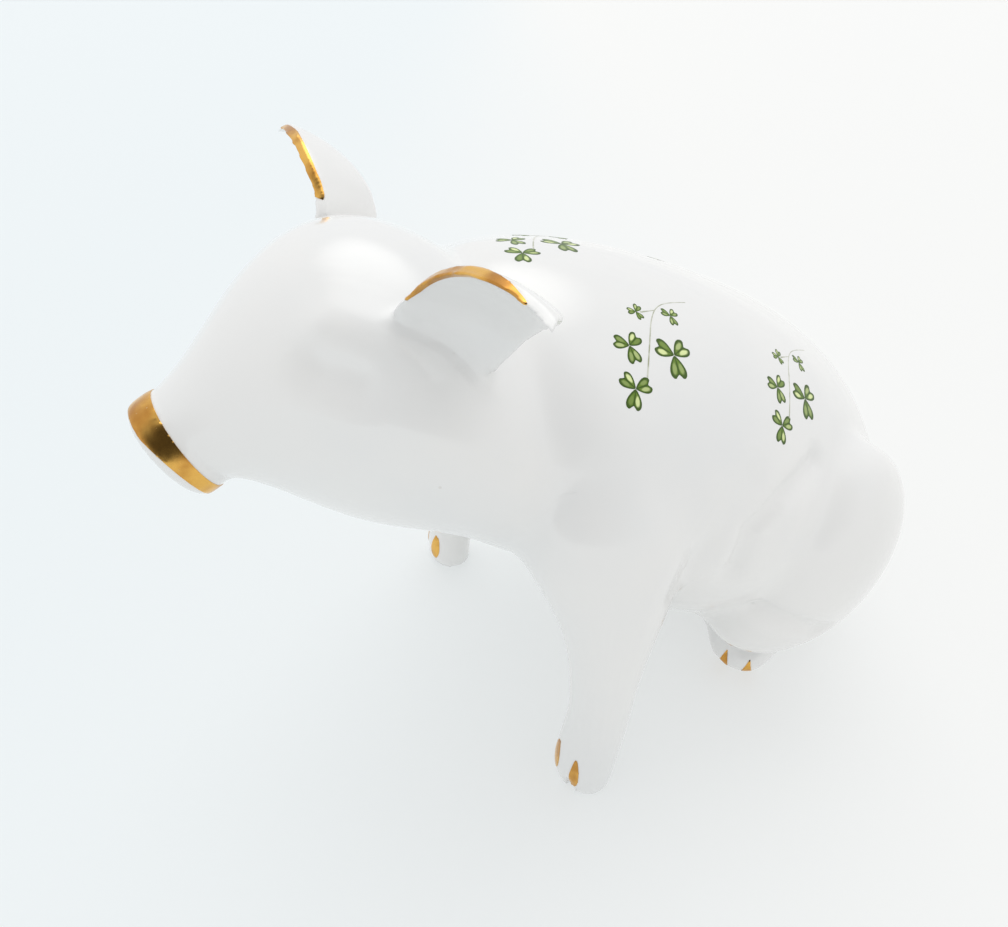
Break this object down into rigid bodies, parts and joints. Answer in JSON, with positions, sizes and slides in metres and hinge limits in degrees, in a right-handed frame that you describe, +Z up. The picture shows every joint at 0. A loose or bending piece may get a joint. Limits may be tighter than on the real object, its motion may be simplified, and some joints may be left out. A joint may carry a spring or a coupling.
{
  "type": "pig figurine",
  "caption": "Glazed porcelain pig that sits on its haunches and looks ahead, with gilded snout, ear rims and claws, as a small ornament.",
  "frame": {"origin": "middle of the footprint, on the plane that the feet and the rump stand on", "axes": "+X to the pig's left, -Y the way it faces, +Z up"},
  "size_m": [0.0834, 0.1272, 0.0956],
  "materials": {
    "porcelain": "white porcelain under a clear gloss glaze",
    "gilding": "fired gold lustre, polished, with small worn spots"
  },
  "bodies": {
    "root": {"body_shell": "porcelain", "head_shell": "porcelain", "tail": "porcelain", "left_ear": "porcelain", "right_ear": "porcelain", "left_front_leg": "porcelain", "right_front_leg": "porcelain", "left_hind_leg": "porcelain", "right_hind_leg": "porcelain", "snout_gilding": "gilding", "left_ear_gilding": "gilding", "right_ear_gilding": "gilding", "left_front_claws": "gilding", "right_front_claws": "gilding", "left_hind_claws": "gilding", "right_hind_claws": "gilding"}
  },
  "joints": []
}
